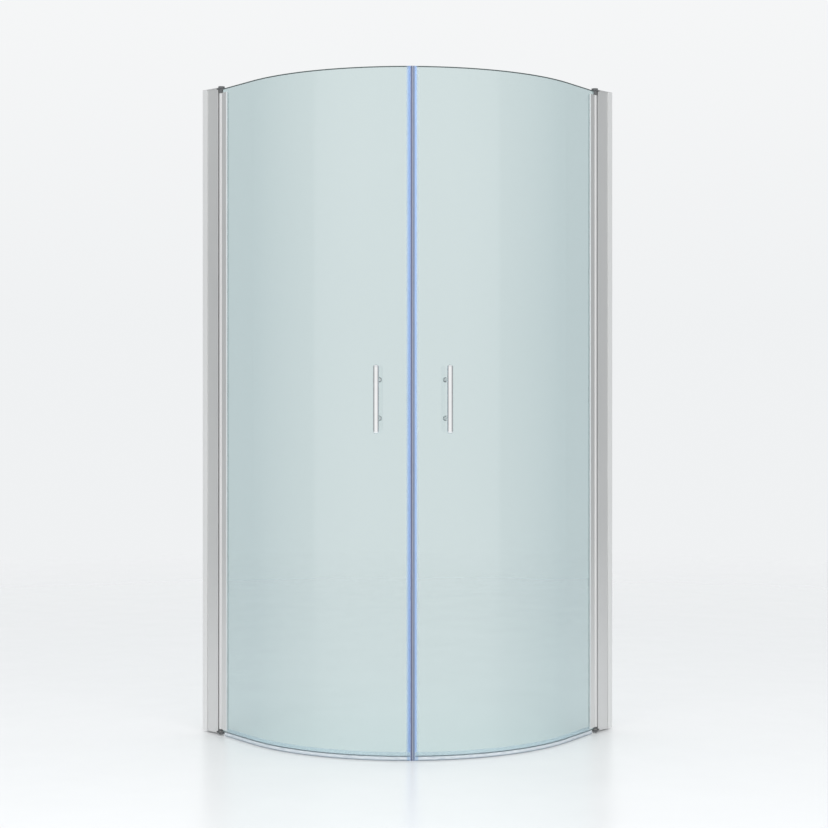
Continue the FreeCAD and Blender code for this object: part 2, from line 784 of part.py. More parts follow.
def hinge_profile():
    """Round tube, narrow neck and U pocket for the glass, all one extrusion."""
    body = new_body("left_hinge_profile", at_hinge_end)
    low, high = TUBE_BOTTOM, TUBE_TOP
    neck, outside = S["hinge_neck_width"] / 2, POCKET_HALF
    inside = GASKET_HALF + S["grip_gap"]
    start, mouth = S["pocket_start"], S["pocket_reach"]
    step = (outside - neck) / 2

    def tube(sketch):
        add_circle(sketch, GLASS_MID, -HINGE_RUN, S["tube_radius"])

    def pocket_outline(sketch):
        floor = start + S["pocket_floor"]
        add_outline(sketch, [
            (GLASS_MID - neck, from_pivot(S["tube_radius"] - S["tube_wall"] / 2)),
            (GLASS_MID + neck, from_pivot(S["tube_radius"] - S["tube_wall"] / 2)),
            (GLASS_MID + neck, from_pivot(start)),
            (GLASS_MID + outside - step, from_pivot(start)),
            (GLASS_MID + outside, from_pivot(start + step)),
            (GLASS_MID + outside, from_pivot(mouth)),
            (GLASS_MID + inside, from_pivot(mouth)),
            (GLASS_MID + inside, from_pivot(floor)),
            (GLASS_MID - inside, from_pivot(floor)),
            (GLASS_MID - inside, from_pivot(mouth)),
            (GLASS_MID - outside, from_pivot(mouth)),
            (GLASS_MID - outside, from_pivot(start + step)),
            (GLASS_MID - outside + step, from_pivot(start)),
            (GLASS_MID - neck, from_pivot(start)),
        ])

    slab(body, low, high, tube)
    slab(body, low, high, pocket_outline)
    bore = new_sketch(body, "XY", low)
    add_circle(bore, GLASS_MID, -HINGE_RUN, S["tube_radius"] - S["tube_wall"])
    pocket(body, bore, high - low)
    return body


def glazing_gasket():
    """Soft U round the end of the glass, with lips over the pocket's mouth."""
    body = new_body("left_glazing_gasket", at_hinge_end)
    inner, outer = GASKET_HALF - S["gasket_wall"], GASKET_HALF
    lip = (GASKET_HALF + POCKET_HALF) / 2
    floor = GASKET_FLOOR + S["gasket_wall"]
    mouth = S["pocket_reach"] + S["grip_gap"]

    def section(sketch):
        right = [
            (outer, GASKET_FLOOR), (outer, mouth), (lip, mouth), (inner + S["gasket_wall"] / 2, LIP_END),
            (inner, LIP_END), (inner, floor),
        ]
        left = [(-x, y) for x, y in reversed(right)]
        add_outline(sketch, [(GLASS_MID + x, from_pivot(y)) for x, y in right + left])

    slab(body, TUBE_BOTTOM, TUBE_TOP, section)
    return body


def along_the_door(body, draw, seam_setback, hinge_end):
    """Carries one upright section round the arc and along the straight end.

    seam_setback is how far short of the diagonal it stops, and hinge_end how far
    from the pivot."""
    section = new_sketch(body, "XZ")
    draw(section)
    revolve(body, section, "V_Axis", DOOR_SWEEP - arc_angle(seam_setback, GLASS_OUT))
    straight = new_sketch(body, "XZ")
    draw(straight)
    pad(body, straight, HINGE_RUN - hinge_end)


def glass():
    """Bent pane, straight at its hinge end, with two holes for the handle."""
    blank = new_body("left_glass_blank", at_hinge_end)

    def section(sketch):
        add_box(sketch, GLASS_IN, S["glass_bottom"], GLASS_OUT, GLASS_TOP)

    along_the_door(blank, section, S["glass_setback"], GLASS_END)
    radius = GLASS_HOLE_RADIUS
    inside, outside = GLASS_IN - S["glass_thickness"], GLASS_OUT + S["glass_thickness"]
    drills = []
    for number, height in enumerate(post_heights(), start=1):
        half = [(inside, 0), (outside, 0), (outside, radius), (inside, radius)]
        drills.append(turned_outward("left_glass_drill_%d" % number, height, half))
    return cut("left_glass", blank, group("left_glass_drills", drills))


def bottom_seal():
    """Clear profile clipped on the glass's lower edge, with a hollow foot."""
    body = new_body("left_bottom_seal", at_hinge_end)
    wall, top, foot = S["seal_wall"], S["seal_leg_top"], S["seal_foot_height"]
    out, inn = S["seal_outer_radius"], SEAL_IN
    tip = S["seal_tip_width"] / 2

    def section(sketch):
        add_outline(sketch, [
            (out, top), (out, foot), (GLASS_MID + tip, 0), (GLASS_MID - tip, 0), (inn, foot),
            (inn, top), (inn + wall, top), (inn + wall, SEAL_FLOOR), (out - wall, SEAL_FLOOR),
            (out - wall, top),
        ])
        add_box(sketch, inn + wall, foot + wall / 2, out - wall, SEAL_FLOOR - wall)

    def hollow(sketch):
        """The part under the glass, which also runs on below the hinge profile."""
        add_outline(sketch, [
            (out, SEAL_FLOOR), (out, foot), (GLASS_MID + tip, 0), (GLASS_MID - tip, 0), (inn, foot),
            (inn, SEAL_FLOOR),
        ])
        add_box(sketch, inn + wall, foot + wall / 2, out - wall, SEAL_FLOOR - wall)

    along_the_door(body, section, S["glass_setback"] + S["seal_joint_gap"], LIP_END + S["seal_joint_gap"])
    run_on = new_sketch(body, "XZ")
    hollow(run_on)
    pad(body, run_on, HINGE_RUN - S["seal_start"])
    return body


def chamber_faces():
    """Inner and outer radius, and near and far distance from the diagonal."""
    proud = S["magnet_seal_proud"]
    near = S["seam_gap"] / 2
    far = S["glass_setback"] - S["magnet_seal_play"]
    return SEAL_IN - proud, S["seal_outer_radius"] + proud, near, far


def magnet_seal():
    """Chamber for the magnet with two legs that clip over the glass."""
    body = new_body("left_magnet_seal", at_seam)
    wall = S["seal_wall"]
    inn, out, near, far = chamber_faces()
    leg_end = far + S["magnet_leg_length"]
    top = GLASS_TOP
    slack, taper = S["magnet_seal_play"], S["leg_taper"]

    def chamber(sketch):
        add_box(sketch, inn, -far, out, -near)
        add_box(sketch, inn + wall, -far + wall, out - wall, -near - wall)

    def leg(inner, outer):
        def section(sketch):
            add_outline(sketch, [
                (inner, -far), (outer, -far), (outer - taper, -leg_end), (inner + taper, -leg_end),
            ])
        return section

    slab(body, S["magnet_seal_bottom"], top, chamber)
    slab(body, MAGNET_LEG_START, top, leg(GLASS_OUT + slack, GLASS_OUT + slack + wall))
    slab(body, MAGNET_LEG_START, top, leg(GLASS_IN - slack - wall, GLASS_IN - slack))
    return body


def magnet_strip():
    """Flexible magnet inside the seal's chamber."""
    body = new_body("left_magnet_strip", at_seam)
    inset = S["seal_wall"] + S["magnet_play"]
    inn, out, near, far = chamber_faces()

    def section(sketch):
        add_box(sketch, inn + inset, -far + inset, out - inset, -near - inset)

    slab(body, S["magnet_bottom"], GLASS_TOP - S["magnet_end_gap"], section)
    return body


# ---------------------------------------------------------------- handle

def post_heights():
    half = S["handle_spacing"] / 2
    return [S["handle_height"] - half, S["handle_height"] + half]


def handle_pieces(name, half_section):
    """The same turned piece at both posts."""
    pieces = []
    for number, height in enumerate(post_heights(), start=1):
        pieces.append(turned_outward("left_%s_%d" % (name, number), height, half_section))
    return pieces


def bar_cylinder(label, radius, half_length):
    body = new_body(label, at_handle)
    low, high = S["handle_height"] - half_length, S["handle_height"] + half_length
    slab(body, low, high, lambda sketch: add_circle(sketch, BAR_AXIS, 0, radius))
    return body


def handle_bar():
    """Round upright bar with rounded ends."""
    body = bar_cylinder("left_handle_bar", S["handle_radius"], S["handle_length"] / 2)
    rod = body.Tip
    ends = [
        "Edge%d" % index
        for index, edge in enumerate(rod.Shape.Edges, start=1)
        if isinstance(edge.Curve, Part.Circle)
    ]
    rounding = body.newObject("PartDesign::Fillet", "left_handle_bar_rounding")
    rounding.Base = (rod, ends)
    bind(rounding, "Radius", S["handle_round"])
    doc.recompute()
    return body


def handle_posts():
    """Posts from the glass to the bar, hollowed to seat on it and tapped for a screw."""
    foot, radius = POST_FOOT, S["post_radius"]
    collar, collar_end = S["post_collar_radius"], POST_FOOT + S["post_collar_height"]
    tapped = S["handle_screw_radius"] + S["screw_play"]
    depth = foot + S["handle_screw_grip"] + S["grip_gap"]
    blanks = handle_pieces("handle_post", [
        (foot, tapped), (foot, collar), (collar_end, collar), (collar_end, radius),
        (BAR_AXIS, radius), (BAR_AXIS, 0), (depth, 0), (depth, tapped),
    ])
    seat = bar_cylinder("left_post_seat", S["handle_radius"] + S["seat_gap"], S["handle_length"] / 2)
    return cut("left_handle_posts", group("left_handle_post_blanks", blanks), seat)


def handle_washers():
    """Clear washers between metal and glass, one on each face at each post."""
    hole, rim = GLASS_HOLE_RADIUS, S["post_collar_radius"]
    pieces = []
    for name, face in (("outer", GLASS_OUT + S["grip_gap"]), ("inner", ROSETTE_FACE)):
        end = face + S["pad_thickness"]
        section = [(face, hole), (face, rim), (end, rim), (end, hole)]
        pieces += handle_pieces("handle_washer_" + name, section)
    return group("left_handle_washers", pieces)


def handle_sleeves():
    """Clear sleeves that keep the screws off the glass."""
    section = [
        (GLASS_IN, SLEEVE_INNER), (GLASS_IN, SLEEVE_OUTER),
        (GLASS_OUT, SLEEVE_OUTER), (GLASS_OUT, SLEEVE_INNER),
    ]
    return group("left_handle_sleeves", handle_pieces("handle_sleeve", section))


def handle_rosettes():
    """Round counterbored caps on the shower side."""
    bore = S["handle_screw_radius"] + S["screw_play"]
    recess = S["handle_head_radius"] + S["head_play"]
    rim, bevel = S["rosette_radius"], S["rosette_bevel"]
    seat = ROSETTE_BACK + S["handle_head_height"]
    return group("left_handle_rosettes", handle_pieces("handle_rosette", [
        (ROSETTE_FACE, bore), (ROSETTE_FACE, rim), (ROSETTE_BACK + bevel, rim),
        (ROSETTE_BACK, rim - bevel), (ROSETTE_BACK, recess), (seat, recess), (seat, bore),
    ]))


def handle_screws():
    """Screws from the rosettes through the glass into the posts."""
    head_start = ROSETTE_BACK + S["grip_gap"]
    head_end = ROSETTE_BACK + S["handle_head_height"] - S["grip_gap"]
    tip = POST_FOOT + S["handle_screw_grip"]
    shank, head = S["handle_screw_radius"], S["handle_head_radius"]
    return group("left_handle_screws", handle_pieces("handle_screw", [
        (head_start, 0), (head_start, head), (head_end, head), (head_end, shank),
        (tip, shank), (tip, 0),
    ]))


# ---------------------------------------------------------------- assembly

def mirrored(left):
    """The right half's copy of a left piece, in the corner's diagonal plane."""
    label = left.Label.replace("left_", "right_", 1)
    copy = doc.addObject("Part::Mirroring", label)
    copy.Label = label
    copy.Source = left
    copy.Base = Vector(0, 0, 0)
    copy.Normal = Vector(1, 1, 0)
    return copy


left_half = [
    wall_channel(),
    adjusting_profile(),
    profile_cap(),
    lock_screws(),
    screw_covers(),
    *pivot_brackets(),
    bracket_screws(),
    pivot_gasket(),
    *pivot_pins(),
    thrust_washer(),
    *hinge_caps(),
    *pivot_bushes(),
    hinge_profile(),
    glazing_gasket(),
    glass(),
    bottom_seal(),
    magnet_seal(),
    magnet_strip(),
    handle_bar(),
    handle_posts(),
    handle_washers(),
    handle_sleeves(),
    handle_rosettes(),
    handle_screws(),
]
sub_parts = left_half + [mirrored(piece) for piece in left_half]
doc.recompute()

for item in doc.Objects:
    if "Invalid" in item.State or "Error" in item.State:
        raise RuntimeError("%s did not recompute" % item.Label)
for piece in sub_parts:
    if piece.Shape.isNull() or not piece.Shape.isValid():
        raise RuntimeError("%s has no valid shape" % piece.Label)

os.makedirs("parts", exist_ok=True)
for piece in sub_parts:
    piece.Shape.exportStep("parts/%s.step" % piece.Label)

print("sub-parts:", len(sub_parts))
print("left pivot at X %.3f, Y %.3f" % (PIVOT_X.number, PIVOT_Y.number))
print("straight end of the glass %.3f long" % HINGE_RUN.number)
print("room corner to the profiles' outer face %.3f" % CHANNEL_OUTER.number)
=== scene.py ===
import json
import math

import bmesh
import bpy
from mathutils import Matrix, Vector

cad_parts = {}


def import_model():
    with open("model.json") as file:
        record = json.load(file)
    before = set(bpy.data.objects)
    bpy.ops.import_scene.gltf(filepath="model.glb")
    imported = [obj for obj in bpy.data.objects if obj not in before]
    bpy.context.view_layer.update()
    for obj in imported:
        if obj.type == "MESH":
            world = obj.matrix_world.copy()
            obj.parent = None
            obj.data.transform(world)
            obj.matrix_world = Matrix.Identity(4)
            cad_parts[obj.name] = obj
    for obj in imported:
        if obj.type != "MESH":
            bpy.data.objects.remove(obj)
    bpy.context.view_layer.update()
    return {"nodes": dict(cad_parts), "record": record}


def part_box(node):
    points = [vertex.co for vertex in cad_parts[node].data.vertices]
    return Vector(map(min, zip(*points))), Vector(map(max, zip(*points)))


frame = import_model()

scene = bpy.context.scene

SIDES = ("left", "right")
GLASS_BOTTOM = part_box("left_glass")[0][2]
GLASS_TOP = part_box("left_glass")[1][2]
SEAL_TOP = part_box("left_bottom_seal")[1][2]

# the glass's ground edges: their heights, and a level that parts the upper from the lower
UPPER_ARRIS = 0.0023
LOWER_ARRIS = 0.0016
MID_HEIGHT = 1.0


# ------------------------------------------------------------------ node helpers

class Nodes:
    """A material's or world's node tree, with short ways to add and join nodes."""

    def __init__(self, tree):
        self.tree = tree
        self.tree.nodes.clear()

    def add(self, kind, **values):
        node = self.tree.nodes.new(kind)
        for key, value in values.items():
            setattr(node, key, value)
        return node

    def set(self, node, name, value):
        """Sets a socket to a constant, or joins it to another node's socket."""
        socket = node.inputs[name]
        if isinstance(value, bpy.types.NodeSocket):
            self.tree.links.new(value, socket)
        elif isinstance(value, (tuple, list)) and len(value) == 3 and len(socket.default_value) == 4:
            socket.default_value = (*value, 1.0)
        else:
            socket.default_value = value

    def math(self, operation, a, b=None, c=None, clamp=False):
        node = self.add("ShaderNodeMath", operation=operation, use_clamp=clamp)
        for index, value in enumerate((a, b, c)):
            if value is not None:
                self.set(node, index, value)
        return node.outputs[0]

    def ramp(self, value, low, high, start=0.0, end=1.0):
        """Maps value from low..high to start..end, clamped."""
        node = self.add("ShaderNodeMapRange")
        self.set(node, "Value", value)
        for name, number in (("From Min", low), ("From Max", high), ("To Min", start), ("To Max", end)):
            self.set(node, name, number)
        return node.outputs[0]

    def coordinates(self, scale=(1, 1, 1)):
        """Object coordinates, in metres of the row frame, stretched by scale."""
        source = self.add("ShaderNodeTexCoord").outputs["Object"]
        mapping = self.add("ShaderNodeMapping")
        self.set(mapping, "Vector", source)
        mapping.inputs["Scale"].default_value = scale
        return mapping.outputs[0]

    def noise(self, scale, stretch=(1, 1, 1), detail=3.0):
        node = self.add("ShaderNodeTexNoise")
        self.set(node, "Vector", self.coordinates(stretch))
        self.set(node, "Scale", scale)
        self.set(node, "Detail", detail)
        return node.outputs[0]

    def blend(self, factor, first, second):
        """Colour between first and second."""
        node = self.add("ShaderNodeMix", data_type="RGBA")
        self.set(node, 0, factor)
        for index, value in ((6, first), (7, second)):
            if isinstance(value, bpy.types.NodeSocket):
                self.tree.links.new(value, node.inputs[index])
            else:
                node.inputs[index].default_value = (*value, 1.0)
        return node.outputs[2]

    def bump(self, height, distance, strength=1.0):
        node = self.add("ShaderNodeBump")
        self.set(node, "Height", height)
        node.inputs["Distance"].default_value = distance
        node.inputs["Strength"].default_value = strength
        return node.outputs[0]

    def shader(self, **values):
        node = self.add("ShaderNodeBsdfPrincipled")
        for name, value in values.items():
            self.set(node, name.replace("_", " "), value)
        return node

    def mix(self, factor, first, second):
        """Shader between first and second."""
        node = self.add("ShaderNodeMixShader")
        self.set(node, 0, factor)
        self.tree.links.new(first, node.inputs[1])
        self.tree.links.new(second, node.inputs[2])
        return node.outputs[0]

    def clear(self, colour):
        """Straight view through, tinted by colour."""
        node = self.add("ShaderNodeBsdfTransparent")
        self.set(node, "Color", colour)
        return node.outputs[0]

    def output(self, shader, kind="ShaderNodeOutputMaterial"):
        node = self.add(kind)
        self.tree.links.new(shader, node.inputs["Surface"])


def new_material(name):
    material = bpy.data.materials.new(name)
    material.use_nodes = True
    return material, Nodes(material.node_tree)


def shade(colour, amount):
    return tuple(min(1.0, channel * amount) for channel in colour)


# ------------------------------------------------------------------ materials

def aluminium(name, colour, metallic, roughness):
    """Satin anodised extrusion: upright drawing lines and faint patches of tone."""
    material, n = new_material(name)
    lines = n.noise(1.0, (2600, 2600, 9), detail=2.0)
    patches = n.noise(5.0, (1, 1, 0.35), detail=3.0)
    tone = n.math("ADD", n.math("MULTIPLY", lines, 0.35), n.math("MULTIPLY", patches, 0.65))
    base = n.blend(n.ramp(tone, 0.3, 0.7), shade(colour, 0.96), shade(colour, 1.04))
    rough = n.ramp(lines, 0.3, 0.7, roughness - 0.05, roughness + 0.05)
    normal = n.bump(lines, 0.00003)
    n.output(n.shader(Base_Color=base, Metallic=metallic, Roughness=rough, Normal=normal).outputs[0])
    return material


def chrome(name, colour):
    """Polished chrome with the faint haze and hairlines of handling."""
    material, n = new_material(name)
    haze = n.noise(26.0, detail=4.0)
    hair = n.noise(1.0, (1800, 1800, 60), detail=2.0)
    base = n.blend(n.ramp(haze, 0.3, 0.7), shade(colour, 0.97), shade(colour, 1.02))
    rough = n.math("ADD", n.ramp(haze, 0.35, 0.7, 0.045, 0.09), n.ramp(hair, 0.6, 0.8, 0.0, 0.02))
    normal = n.bump(hair, 0.000006)
    n.output(n.shader(Base_Color=base, Metallic=1.0, Roughness=rough, Normal=normal).outputs[0])
    return material


def steel():
    """Bright zinc-plated screws and pins."""
    material, n = new_material("zinc_steel")
    colour = (0.60, 0.60, 0.58)
    cloud = n.noise(420.0, detail=4.0)
    base = n.blend(n.ramp(cloud, 0.3, 0.7), shade(colour, 0.88), shade(colour, 1.08))
    rough = n.ramp(cloud, 0.3, 0.7, 0.22, 0.40)
    normal = n.bump(cloud, 0.00003)
    n.output(n.shader(Base_Color=base, Metallic=1.0, Roughness=rough, Normal=normal).outputs[0])
    return material


def moulded(name, colour, grain, roughness, depth, variation=0.08):
    """Moulded plastic or rubber with a fine spark-eroded grain."""
    material, n = new_material(name)
    fine = n.noise(grain, detail=3.0)
    broad = n.noise(28.0, detail=2.0)
    tone = n.math("ADD", n.math("MULTIPLY", fine, 0.5), n.math("MULTIPLY", broad, 0.5))
    base = n.blend(n.ramp(tone, 0.3, 0.7), shade(colour, 1 - variation), shade(colour, 1 + variation))
    rough = n.ramp(fine, 0.3, 0.7, roughness - 0.06, roughness + 0.06)
    normal = n.bump(fine, depth)
    n.output(n.shader(Base_Color=base, Roughness=rough, Normal=normal).outputs[0])
    return material


def let_light_pass(n, surface, tint):
    """Surface as it is seen, which light on its way to something else passes with a tint."""
    path = n.add("ShaderNodeLightPath")
    either = n.math("MAXIMUM", path.outputs["Is Shadow Ray"], path.outputs["Is Diffuse Ray"])
    return n.mix(either, surface, n.clear(tint))


def see_through(n, body, tint, share, shadow_tint):
    """Body shader by its share, the rest a straight view through; light passes it."""
    return let_light_pass(n, n.mix(share, n.clear(tint), body), shadow_tint)


def heights(n):
    """Object height and upward part of the normal."""
    source = n.add("ShaderNodeTexCoord")
    place = n.add("ShaderNodeSeparateXYZ")
    n.set(place, 0, source.outputs["Object"])
    facing = n.add("ShaderNodeSeparateXYZ")
    n.set(facing, 0, source.outputs["Normal"])
    return place.outputs[2], facing.outputs[2]


def glass():
    """Clear float glass with a grey-green cast, darker at a slant, with ground arrises."""
    material, n = new_material("float_glass")
    z, up = heights(n)
    wave = n.noise(1.6, (1, 1, 0.6), detail=2.0)
    cast = n.noise(2.2, (1, 1, 0.5), detail=3.0)
    slant = n.add("ShaderNodeLayerWeight")
    slant.inputs["Blend"].default_value = 0.5
    deeper = n.ramp(slant.outputs["Facing"], 0.04, 0.46)
    clean = n.blend(deeper, (0.712, 0.808, 0.806), (0.54, 0.652, 0.668))
    tint = n.blend(n.ramp(cast, 0.3, 0.7, 0.0, 0.05), clean, (0.50, 0.64, 0.60))
    face = n.shader(
        Base_Color=tint, Roughness=n.ramp(cast, 0.4, 0.8, 0.0, 0.012),
        IOR=1.5, Transmission_Weight=1.0, Normal=n.bump(wave, 0.0006),
    )
    pane = let_light_pass(n, face.outputs[0], (0.90, 0.945, 0.94))

    grain = n.noise(900.0, detail=2.0)
    upper = n.blend(n.ramp(grain, 0.3, 0.7), (0.045, 0.065, 0.068), (0.075, 0.10, 0.10))
    lower = n.blend(n.ramp(grain, 0.3, 0.7), (0.085, 0.115, 0.125), (0.125, 0.16, 0.165))
    ground = n.blend(n.math("LESS_THAN", z, MID_HEIGHT), upper, lower)
    arris = n.shader(
        Base_Color=ground, Roughness=n.ramp(grain, 0.3, 0.7, 0.25, 0.45), Normal=n.bump(grain, 0.00003),
    )
    flat = n.math("GREATER_THAN", n.math("ABSOLUTE", up), 0.5)
    high = n.math("GREATER_THAN", z, GLASS_TOP - UPPER_ARRIS)
    low = n.math("LESS_THAN", z, GLASS_BOTTOM + LOWER_ARRIS)
    edge = n.math("MAXIMUM", flat, n.math("MAXIMUM", high, low))
    n.output(n.mix(edge, pane, arris.outputs[0]))
    return material


def from_seam(n):
    """Distance to the seam's plane, which is the room corner's diagonal."""
    source = n.add("ShaderNodeTexCoord")
    place = n.add("ShaderNodeSeparateXYZ")
    n.set(place, 0, source.outputs["Object"])
    across = n.math("ADD", place.outputs[0], place.outputs[1])
    return n.math("ABSOLUTE", n.math("MULTIPLY", across, math.sqrt(0.5)))


def clear_seal():
    """Clear soft profile: clear legs on the glass, a milky hollow under it that is greyer towards the
    bottom, painted highlight streaks, a painted blue cast near the seam, and a foot painted dark as the
    shadow under it.
    """
    material, n = new_material("clear_vinyl")
    z, up = heights(n)
    cloud = n.noise(60.0, detail=3.0)
    painted_highlight_streaks = n.noise(1.0, (55, 55, 700), detail=2.0)
    # painted shadow: the lowest 2.6 mm goes dark and nearly opaque, for the contact shadow under the foot
    painted_foot_shadow = n.ramp(z, 0.0026, 0.0018)
    under = n.ramp(z, GLASS_BOTTOM + 0.0003, GLASS_BOTTOM - 0.0007)
    lip = n.ramp(z, SEAL_TOP - 0.0012, SEAL_TOP - 0.0006)
    # painted blue cast near the seam: the blue seam seal's light painted onto this clear seal, which is
    # also made a little more opaque there
    painted_blue_cast = n.ramp(from_seam(n), 0.0175, 0.0135)
    # painted highlights: near-white streaks along the seal, mixed with grey
    milky = n.blend(n.ramp(painted_highlight_streaks, 0.40, 0.60), (0.62, 0.68, 0.73), (0.93, 0.955, 0.975))
    hollow = n.blend(n.ramp(z, 0.0022, 0.0065), (0.50, 0.565, 0.62), milky)
    leg = n.blend(n.ramp(cloud, 0.3, 0.7), (0.60, 0.68, 0.76), (0.70, 0.77, 0.84))
    band = n.blend(under, leg, hollow)
    band = n.blend(n.math("MULTIPLY", painted_blue_cast, 0.7), band, (0.30, 0.47, 0.72))
    colour = n.blend(painted_foot_shadow, band, (0.075, 0.10, 0.125))
    rough = n.ramp(cloud, 0.3, 0.7, 0.16, 0.28)
    body = n.shader(Base_Color=colour, Roughness=rough, Normal=n.bump(cloud, 0.00008))
    share = n.math("ADD", n.ramp(under, 0.0, 1.0, 0.045, 0.45), n.math("MULTIPLY", lip, 0.10))
    share = n.math("ADD", share, n.math("MULTIPLY", painted_blue_cast, 0.12))
    share = n.math("MAXIMUM", share, n.math("MULTIPLY", painted_foot_shadow, 0.9))
    n.output(see_through(n, body.outputs[0], (0.965, 0.982, 0.995), share, (0.93, 0.95, 0.96)))
    return material


def blue_seal(name, chamber, blue, fade_start, fade_end):
    """Vinyl of the seam's seal: a dark chamber round the magnet, blue legs that fade out."""
    material, n = new_material(name)
    away = from_seam(n)
    cloud = n.noise(60.0, (1, 1, 0.12), detail=3.0)
    dark = n.ramp(away, 0.0058, 0.0054)
    fading = n.ramp(away, fade_start, fade_end)
    leg = n.blend(n.ramp(cloud, 0.3, 0.7), shade(blue, 0.97), shade(blue, 1.03))
    leg = n.blend(fading, leg, (0.80, 0.86, 0.93))
    wall = n.blend(n.ramp(cloud, 0.3, 0.7), shade(chamber, 0.95), shade(chamber, 1.05))
    colour = n.blend(dark, leg, wall)
    rough = n.ramp(cloud, 0.3, 0.7, 0.16, 0.28)
    body = n.shader(Base_Color=colour, Roughness=rough, Normal=n.bump(cloud, 0.00004))
    share = n.math("ADD", n.ramp(fading, 0.0, 1.0, 0.34, 0.05), n.math("MULTIPLY", dark, 0.5))
    tint = n.blend(fading, (0.84, 0.90, 0.99), (0.985, 0.99, 0.995))
    n.output(see_through(n, body.outputs[0], tint, share, (0.88, 0.92, 0.97)))
    return material


def milky(name, low, high, tint, share):
    """Soft vinyl between clear and milky, of the glazing gaskets and handle washers."""
    material, n = new_material(name)
    cloud = n.noise(80.0, (1, 1, 0.2), detail=3.0)
    colour = n.blend(n.ramp(cloud, 0.3, 0.7), low, high)
    rough = n.ramp(cloud, 0.3, 0.7, 0.22, 0.34)
    body = n.shader(Base_Color=colour, Roughness=rough, Normal=n.bump(cloud, 0.00006))
    n.output(see_through(n, body.outputs[0], tint, share, (0.9, 0.93, 0.93)))
    return material


MATERIALS = {
    "aluminium": aluminium("satin_aluminium", (0.76, 0.76, 0.755), 0.75, 0.34),
    "chrome": chrome("polished_chrome", (0.86, 0.87, 0.88)),
    "steel": steel(),
    "glass": glass(),
    "clear_seal": clear_seal(),
    "clear_gasket": milky("milky_vinyl", (0.60, 0.65, 0.66), (0.70, 0.74, 0.75), (0.90, 0.94, 0.94), 0.65),
    "cap_grey": moulded("cap_grey_plastic", (0.50, 0.50, 0.50), 1500.0, 0.48, 0.00003),
    "dark_plastic": moulded("dark_grey_plastic", (0.105, 0.108, 0.112), 1600.0, 0.42, 0.00004),
    "bush_plastic": moulded("natural_nylon", (0.78, 0.76, 0.70), 900.0, 0.35, 0.00003),
    "gasket": moulded("soft_grey_rubber", (0.10, 0.105, 0.10), 1300.0, 0.62, 0.00005),
    "magnet": moulded("flexible_magnet", (0.115, 0.125, 0.175), 1100.0, 0.5, 0.00004),
}
OWN = {
    # painted shade: the left seal's copy of this vinyl is darker, with a darker chamber and a longer fade
    "left_magnet_seal": blue_seal(
        "blue_vinyl_left_painted_shade", (0.135, 0.150, 0.235), (0.36, 0.50, 0.82), 0.0095, 0.0175,
    ),
    # painted light: the right seal's copy of the same vinyl is lighter and bluer, for a painted blue
    # highlight
    "right_magnet_seal": blue_seal(
        "blue_vinyl_right_painted_light", (0.185, 0.225, 0.325), (0.50, 0.66, 1.0), 0.0090, 0.0130,
    ),
}
# painted shade: the handle posts and rosettes get the bar's chrome made darker
POSTS_PAINTED_SHADE = chrome("chrome_painted_shade", (0.60, 0.62, 0.63))
GASKET = milky("pale_vinyl", (0.66, 0.70, 0.71), (0.72, 0.755, 0.765), (0.90, 0.94, 0.94), 0.94)
# painted light: the wall channels get a paler, less metallic copy of the aluminium, for light bounced off
# the wall beside them
CHANNEL_PAINTED_LIGHT = aluminium("satin_aluminium_painted_light", (0.86, 0.86, 0.855), 0.55, 0.40)
for side in SIDES:
    OWN[side + "_wall_channel"] = CHANNEL_PAINTED_LIGHT
    OWN[side + "_glazing_gasket"] = GASKET
    OWN[side + "_handle_posts"] = OWN[side + "_handle_rosettes"] = POSTS_PAINTED_SHADE

SLOT_OF = {item["node"]: item["material_slot"] for item in frame["record"]["subparts"]}
for node, obj in frame["nodes"].items():
    obj.data.materials.clear()
    obj.data.materials.append(OWN[node] if node in OWN else MATERIALS[SLOT_OF[node]])


# ------------------------------------------------------------------ floor

FLOOR_RADIUS = 9.0
FLOOR_GAP = 0.0004
FADE_START = 2.2
FADE_END = 6.0

def floor():
    """Pale floor that keeps the shadow and fades into the background far out."""
    mesh = bpy.data.meshes.new("floor")
    shape = bmesh.new()
    bmesh.ops.create_circle(shape, cap_ends=True, segments=96, radius=FLOOR_RADIUS)
    shape.to_mesh(mesh)
    shape.free()
    obj = bpy.data.objects.new("floor", mesh)
    scene.collection.objects.link(obj)
    obj.location.z = -FLOOR_GAP
    material, n = new_material("pale_floor")
    source = n.add("ShaderNodeTexCoord").outputs["Object"]
    length = n.add("ShaderNodeVectorMath", operation="LENGTH")
    n.set(length, 0, source)
    cloud = n.noise(3.0, detail=3.0)
    base = n.blend(n.ramp(cloud, 0.3, 0.7), (0.871, 0.878, 0.884), (0.881, 0.888, 0.894))
    body = n.shader(Base_Color=base, Roughness=n.ramp(cloud, 0.3, 0.7, 0.22, 0.27))
    body.inputs["Specular IOR Level"].default_value = 0.35
    fading = n.ramp(length.outputs["Value"], FADE_START, FADE_END)
    n.output(n.mix(fading, body.outputs[0], n.clear((1.0, 1.0, 1.0))))
    mesh.materials.append(material)


# ------------------------------------------------------------------ light

PALE = (0.868, 0.882, 0.893)
HIGH = (0.918, 0.926, 0.932)
SIDE = (0.42, 0.435, 0.44)
FLANK = (0.27, 0.28, 0.285)
PANEL = (1.0, 1.0, 1.0)
VIEW = Vector((-0.6850, 0.7285, 0.0))
FRONT = -VIEW.normalized()
EYE = (3.523, -3.723, 0.9975)
LENS = 75.39
SHIFT = -0.02348
LAMP_SIZE = (2.4, 2.4)


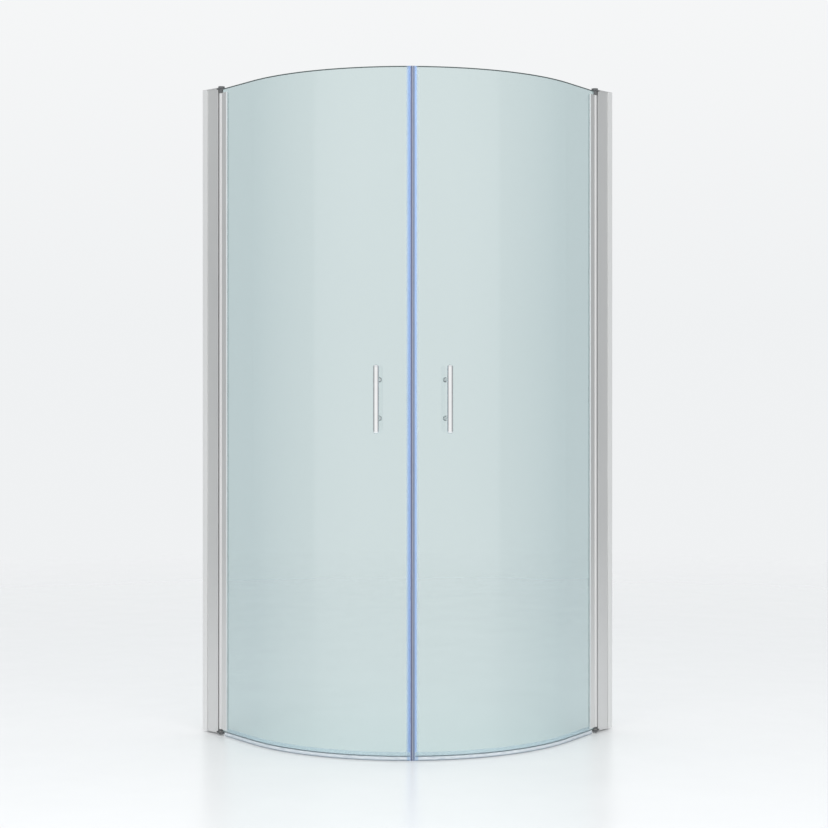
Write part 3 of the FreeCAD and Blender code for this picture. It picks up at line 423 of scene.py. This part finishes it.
def world():
    """Pale all round, and paler above where it is seen.

    Only reflections meet a bright panel towards the camera and darker sides.
    """
    sky = bpy.data.worlds.new("studio")
    scene.world = sky
    sky.use_nodes = True
    n = Nodes(sky.node_tree)
    direction = n.add("ShaderNodeTexCoord").outputs["Generated"]
    flat = n.add("ShaderNodeVectorMath", operation="MULTIPLY")
    n.set(flat, 0, direction)
    flat.inputs[1].default_value = (1, 1, 0)
    level = n.add("ShaderNodeVectorMath", operation="NORMALIZE")
    n.set(level, 0, flat.outputs[0])
    dot = n.add("ShaderNodeVectorMath", operation="DOT_PRODUCT")
    n.set(dot, 0, level.outputs[0])
    dot.inputs[1].default_value = FRONT
    towards = dot.outputs["Value"]
    parts = n.add("ShaderNodeSeparateXYZ")
    n.set(parts, 0, direction)
    steep = n.math("ABSOLUTE", parts.outputs[2])

    low = n.ramp(steep, 0.45, 0.75, 1.0, 0.0)
    side = n.math("MULTIPLY", n.ramp(towards, 0.50, 0.56, 1.0, 0.0), low)
    flank = n.math("MULTIPLY", n.ramp(towards, -0.62, -0.38, 1.0, 0.0), n.ramp(towards, -0.93, -0.88))
    behind = n.ramp(towards, -0.93, -0.88, 1.0, 0.0)
    panel = n.math("MULTIPLY", n.ramp(towards, 0.50, 0.56), n.ramp(steep, 0.135, 0.180, 1.0, 0.0))
    path = n.add("ShaderNodeLightPath")
    not_through = n.math("SUBTRACT", 1.0, path.outputs["Is Transmission Ray"])
    mirrored = n.math("MULTIPLY", path.outputs["Is Glossy Ray"], not_through)
    seen = n.math("MAXIMUM", path.outputs["Is Camera Ray"], path.outputs["Is Transmission Ray"])
    rise = n.math("MULTIPLY", n.ramp(parts.outputs[2], 0.04, 0.23), seen)
    backdrop = n.blend(rise, PALE, HIGH)
    colour = n.blend(n.math("MULTIPLY", side, mirrored), backdrop, SIDE)
    colour = n.blend(n.math("MULTIPLY", n.math("MULTIPLY", flank, low), mirrored), colour, FLANK)
    colour = n.blend(n.math("MULTIPLY", behind, mirrored), colour, PALE)
    colour = n.blend(n.math("MULTIPLY", panel, mirrored), colour, PANEL)
    background = n.add("ShaderNodeBackground")
    n.set(background, "Color", colour)
    background.inputs["Strength"].default_value = 1.0
    n.output(background.outputs[0], "ShaderNodeOutputWorld")


def lamp(name, place, target, power):
    """Soft square lamp that lights the object and isn't seen itself."""
    data = bpy.data.lights.new(name, "AREA")
    data.shape = "RECTANGLE"
    data.size, data.size_y = LAMP_SIZE
    data.energy = power
    obj = bpy.data.objects.new(name, data)
    scene.collection.objects.link(obj)
    obj.location = place
    aim = Vector(target) - Vector(place)
    obj.rotation_euler = aim.to_track_quat("-Z", "Y").to_euler()
    obj.visible_glossy = False
    obj.visible_transmission = False


def camera():
    """Camera at the photo's place and height, level, with its field shifted down a little."""
    data = bpy.data.cameras.new("camera")
    data.sensor_width = 36.0
    data.lens = LENS
    data.shift_y = SHIFT
    data.clip_start, data.clip_end = 0.1, 60.0
    obj = bpy.data.objects.new("camera", data)
    scene.collection.objects.link(obj)
    obj.location = EYE
    obj.rotation_euler = VIEW.to_track_quat("-Z", "Y").to_euler()
    scene.camera = obj


floor()
world()
lamp("key", (3.2, -1.6, 3.4), (0, 0, 0.8), 42)
lamp("fill", (1.2, -3.4, 3.0), (0, 0, 0.9), 34)
camera()
scene.view_settings.view_transform = "Standard"
